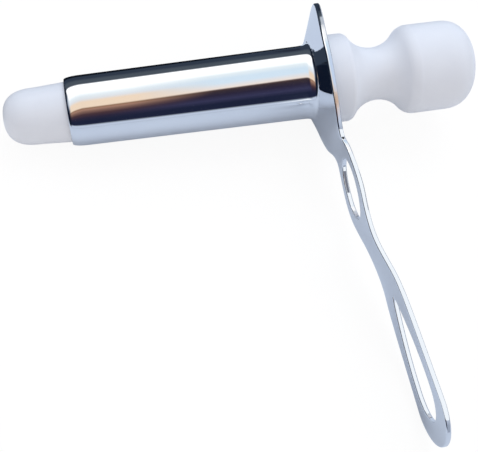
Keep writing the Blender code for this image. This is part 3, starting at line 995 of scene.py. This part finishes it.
def studio():
    """The surround: plain white where it is seen, and bands of light where it is mirrored."""
    world = bpy.data.worlds.new("studio")
    bpy.context.scene.world = world
    graph = Graph(world)
    way = graph.add("ShaderNodeTexCoord", {}, {}, "Generated")
    mirrored = mirrored_light(graph, way)
    cool_side = graph.add("ShaderNodeVectorMath", {"operation": "DOT_PRODUCT"}, {
        0: way, 1: COOL_WAY,
    }, "Value")
    soft = mixed(graph, cool_side * 0.5 + 0.5, WARM_LIGHT, COOL_LIGHT)
    is_seen = graph.add("ShaderNodeLightPath", {}, {}, "Is Camera Ray")
    is_mirrored = graph.add("ShaderNodeLightPath", {}, {}, "Is Glossy Ray")
    is_through = graph.add("ShaderNodeLightPath", {}, {}, "Is Transmission Ray")
    light = mixed(graph, is_mirrored, soft, mirrored)
    light = mixed(graph, is_seen.math("MAXIMUM", is_through), light, PURE_WHITE)
    surround = graph.add("ShaderNodeBackground", {}, {"Color": light, "Strength": 1.0})
    graph.add("ShaderNodeOutputWorld", {}, {"Surface": surround})


def softbox():
    """One soft square light, above and beyond the instrument, which the metal doesn't mirror."""
    lamp = bpy.data.lights.new("softbox", "AREA")
    lamp.shape = "SQUARE"
    lamp.size = 0.45
    lamp.energy = 1.45
    lamp.color = (0.94, 0.97, 1.0)
    holder = bpy.data.objects.new("softbox", lamp)
    place = Vector((0.2, 0.34, 0.54))
    aim = Vector((0.0, 0.03, 0.02))
    holder.location = place
    holder.rotation_euler = (aim - place).to_track_quat("-Z", "Y").to_euler()
    holder.visible_glossy = False
    bpy.context.scene.collection.objects.link(holder)


def sheet(name, corners, material):
    """A flat sheet of the studio, from its corners."""
    form = bmesh.new()
    form.faces.new([form.verts.new(corner) for corner in corners])
    mesh = bpy.data.meshes.new(name)
    form.to_mesh(mesh)
    form.free()
    mesh.materials.append(material)
    piece = bpy.data.objects.new(name, mesh)
    bpy.context.scene.collection.objects.link(piece)
    return piece


def card(name, corners, colour, strength=1.0):
    """A card of one even colour, which only the metal mirrors."""
    material = bpy.data.materials.new(name)
    graph = Graph(material)
    glow = graph.add("ShaderNodeEmission", {}, {"Color": opaque(colour), "Strength": strength})
    graph.add("ShaderNodeOutputMaterial", {}, {"Surface": glow})
    piece = sheet(name, corners, material)
    piece.visible_camera = False
    piece.visible_diffuse = False
    piece.visible_shadow = False


# The floor: its two ends, and its near and far edges
FLOOR_ENDS = (-0.7, 1.0)
FLOOR_EDGES = (-1.2, 0.15)

# The lying card's outline on the floor, notched so that some pale paper is mirrored too
LYING_CARD_HEIGHT = 0.4 * MM
LYING_CARD_OUTLINE = [
    (-0.35, 0.052), (-0.03, 0.052), (0.014, 0.073), (-0.022, 0.1), (-0.051, 0.1035),
    (-0.051, 0.113), (-0.02, 0.1085), (0.006, 0.102), (0.03, 0.096), (0.14, 0.096),
    (0.14, 0.15), (-0.35, 0.15),
]

# The standing card's outline as (x, z), low behind the barrel and following its slope
STANDING_CARD_PLACE = 60.5 * MM
STANDING_CARD_OUTLINE = [
    (-0.085, 0.001), (0.0206, 0.001), (0.0206, 0.0227), (-0.01, 0.0212), (-0.085, 0.0152),
]

# The cards that hang over the handle and its eye
HANDLE_CARD_HEIGHT = 27.0 * MM
HANDLE_CARD_OUTLINE = [(0.024, -0.076), (0.05, -0.076), (0.05, 0.02), (0.024, 0.02)]
HANDLE_CARD_STRENGTH = 1.05
EYE_CARD_HEIGHT = 26.8 * MM
EYE_CARD_OUTLINE = [(0.0295, -0.005), (0.036, -0.005), (0.036, 0.012), (0.0295, 0.012)]


def lay_floor():
    """The pale floor that the instrument lies on."""
    left, right = FLOOR_ENDS
    near, far = FLOOR_EDGES
    sheet("floor", [
        (left, near, 0.0), (right, near, 0.0), (right, far, 0.0), (left, far, 0.0),
    ], pale_floor())


def set_cards():
    """The cards round the instrument."""
    card("lying_card", [(x, y, LYING_CARD_HEIGHT) for x, y in LYING_CARD_OUTLINE], SLATE)
    card("standing_card", [
        (x, STANDING_CARD_PLACE, z) for x, z in STANDING_CARD_OUTLINE
    ], CARD_BLACK)
    card("card_over_handle", [
        (x, y, HANDLE_CARD_HEIGHT) for x, y in HANDLE_CARD_OUTLINE
    ], CARD_WHITE, HANDLE_CARD_STRENGTH)
    card("card_over_eye", [(x, y, EYE_CARD_HEIGHT) for x, y in EYE_CARD_OUTLINE], CARD_GREY)


def camera():
    """The camera, above and on the near side, as it stands to the instrument's own frame."""
    lens = bpy.data.cameras.new("camera")
    lens.sensor_width = 36.0
    lens.lens = 68.43
    lens.clip_start = 0.01
    place = Vector((-66.09, -137.92, 261.96)) * MM
    right = Vector((0.98205, -0.17574, 0.06856)).normalized()
    upward = Vector((0.14213, 0.92827, 0.34368)).normalized()
    view = Matrix((right, upward, right.cross(upward))).transposed()
    holder = bpy.data.objects.new("camera", lens)
    holder.matrix_world = LYING @ Matrix.Translation(place) @ view.to_4x4()
    bpy.context.scene.collection.objects.link(holder)
    bpy.context.scene.camera = holder


def dress():
    """Make every visible piece and set it on its body."""
    plating = polished_plating()
    plastic = white_plastic()
    barrel = finished("barrel", barrel_form(), plating)
    plate = pressed_plate(plating)
    obturator = finished("turned_obturator", turned(obturator_outline(), False), plastic)
    for piece, node, body, slot in (
        (barrel, "barrel_tube", "speculum", "polished_metal"),
        (plate, "flange_handle", "speculum", "polished_metal"),
        (obturator, "obturator", "obturator_body", "white_plastic"),
    ):
        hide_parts(node)
        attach(piece, body)


dress()
lay_floor()
set_cards()
softbox()
studio()
camera()
bpy.context.scene.view_settings.view_transform = "Standard"
